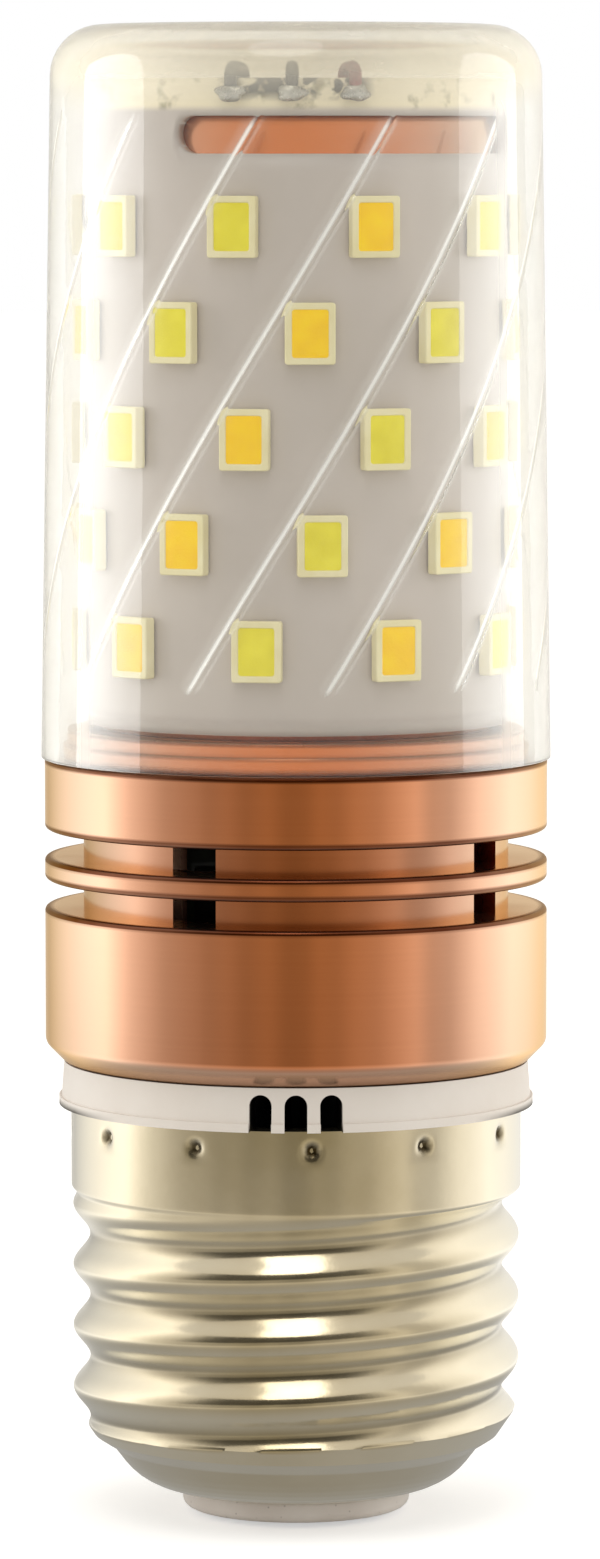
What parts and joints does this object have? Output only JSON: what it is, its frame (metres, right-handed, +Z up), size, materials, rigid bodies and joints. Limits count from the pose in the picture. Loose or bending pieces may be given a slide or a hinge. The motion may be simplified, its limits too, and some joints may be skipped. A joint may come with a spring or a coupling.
{
  "type": "color changing led bulb",
  "caption": "Tubular LED lamp with a screw cap, a grooved copper coloured heat sink and a clear fluted cover over staggered warm and cool LEDs.",
  "frame": {"origin": "centre of the centre contact's face, under the screw cap", "axes": "+Z up along the lamp's axis, from the cap to the clear cover; -Y is the front, as pictured"},
  "size_m": [0.0298, 0.0298, 0.0874],
  "materials": {
    "clear_plastic": "clear moulded plastic, glossy",
    "copper_anodised": "copper coloured anodising over fine turning marks",
    "board_mask": "pale grey solder mask on aluminium",
    "led_package": "moulded package",
    "warm_phosphor": "amber phosphor gel",
    "cool_phosphor": "yellow phosphor gel",
    "collar_plastic": "off-white moulded plastic",
    "nickel_plate": "pale nickel plating",
    "insulator_plastic": "pale grey insulator",
    "contact_metal": "tinned brass",
    "driver_laminate": "green laminate",
    "capacitor_sleeve": "black film sleeve",
    "film_capacitor_case": "ochre epoxy case",
    "chip_body": "black epoxy",
    "ferrite": "dark grey ferrite",
    "resistor_body": "pale blue lacquer",
    "red_insulation": "red wire insulation",
    "black_insulation": "black wire insulation",
    "white_insulation": "white wire insulation",
    "solder": "solder"
  },
  "bodies": {
    "root": {"clear_cover": "clear_plastic", "heat_sink": "copper_anodised", "carrier_sleeve": "copper_anodised", "led_board": "board_mask", "warm_led_packages": "led_package", "cool_led_packages": "led_package", "warm_led_phosphors": "warm_phosphor", "cool_led_phosphors": "cool_phosphor", "base_collar": "collar_plastic", "screw_shell": "nickel_plate", "contact_insulator": "insulator_plastic", "centre_contact": "contact_metal", "driver_board": "driver_laminate", "bulk_capacitors": "capacitor_sleeve", "film_capacitor": "film_capacitor_case", "bridge_rectifier": "chip_body", "driver_chips": "chip_body", "chokes": "ferrite", "fuse_resistor": "resistor_body", "chip_resistors": "chip_body", "warm_wire": "black_insulation", "cool_wire": "black_insulation", "common_wire": "red_insulation", "live_wire": "red_insulation", "neutral_wire": "white_insulation", "solder_joints": "solder"}
  },
  "joints": []
}
